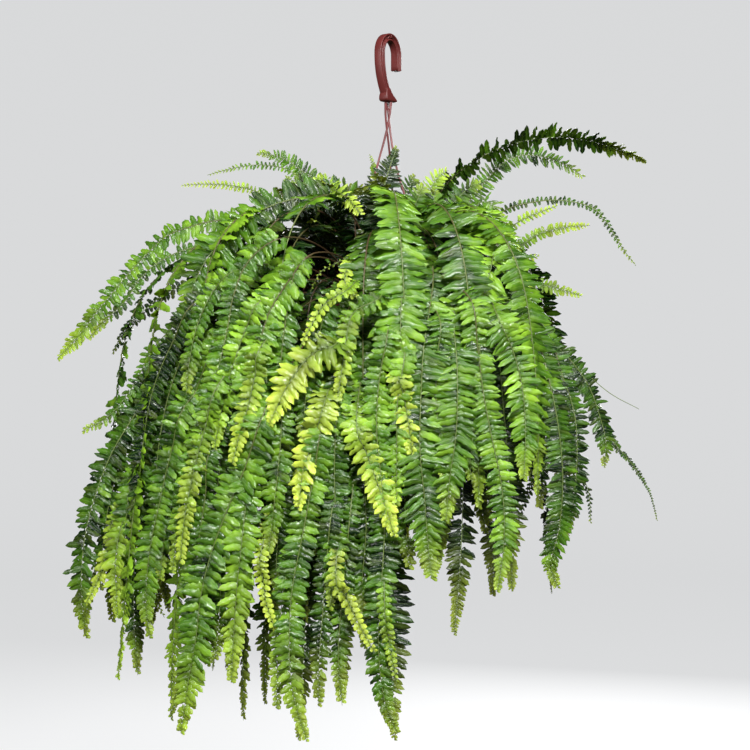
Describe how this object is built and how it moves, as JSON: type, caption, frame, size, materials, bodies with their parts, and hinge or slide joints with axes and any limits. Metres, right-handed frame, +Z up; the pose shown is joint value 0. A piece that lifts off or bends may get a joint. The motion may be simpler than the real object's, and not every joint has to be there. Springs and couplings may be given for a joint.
{
  "type": "hanging potted fern",
  "caption": "Sword fern with long arching, trailing fronds in a round plastic pot that hangs from one hook on a stranded hanger.",
  "frame": {"origin": "underside of the bend of the hook, where the rail that carries the plant touches it", "axes": "+Z up along the pot axis; +X to the right and +Y to the back as the plant is usually seen"},
  "size_m": [0.7588, 0.5492, 0.8076],
  "materials": {
    "hanger_plastic": "satin",
    "pot_plastic": "satin",
    "peat_soil": "matte",
    "rhizome": "matte",
    "frond": "satin"
  },
  "bodies": {
    "root": {"hook": "hanger_plastic", "strand_1": "hanger_plastic", "strand_2": "hanger_plastic", "strand_3": "hanger_plastic", "pot": "pot_plastic", "soil": "peat_soil", "crown": "rhizome", "frond_upright_1": "frond", "frond_upright_2": "frond", "frond_upright_3": "frond", "frond_arching_1": "frond", "frond_arching_2": "frond", "frond_arching_3": "frond", "frond_arching_4": "frond", "frond_arching_5": "frond", "frond_arching_6": "frond", "frond_arching_7": "frond", "frond_arching_8": "frond", "frond_arching_9": "frond", "frond_arching_10": "frond", "frond_arching_11": "frond", "frond_arching_12": "frond", "frond_outer_1": "frond", "frond_outer_2": "frond", "frond_outer_3": "frond", "frond_outer_4": "frond", "frond_outer_5": "frond", "frond_outer_6": "frond", "frond_outer_7": "frond", "frond_outer_8": "frond", "frond_outer_9": "frond", "frond_outer_10": "frond", "frond_outer_11": "frond", "frond_outer_12": "frond", "frond_outer_13": "frond", "frond_outer_14": "frond", "frond_outer_15": "frond", "frond_middle_1": "frond", "frond_middle_2": "frond", "frond_middle_3": "frond", "frond_middle_4": "frond", "frond_middle_5": "frond", "frond_middle_6": "frond", "frond_middle_7": "frond", "frond_middle_8": "frond", "frond_middle_9": "frond", "frond_middle_10": "frond", "frond_middle_11": "frond", "frond_middle_12": "frond", "frond_middle_13": "frond", "frond_inner_1": "frond", "frond_inner_2": "frond", "frond_inner_3": "frond", "frond_inner_4": "frond", "frond_inner_5": "frond", "frond_inner_6": "frond", "frond_inner_7": "frond", "frond_inner_8": "frond", "frond_inner_9": "frond", "frond_inner_10": "frond"}
  },
  "joints": []
}
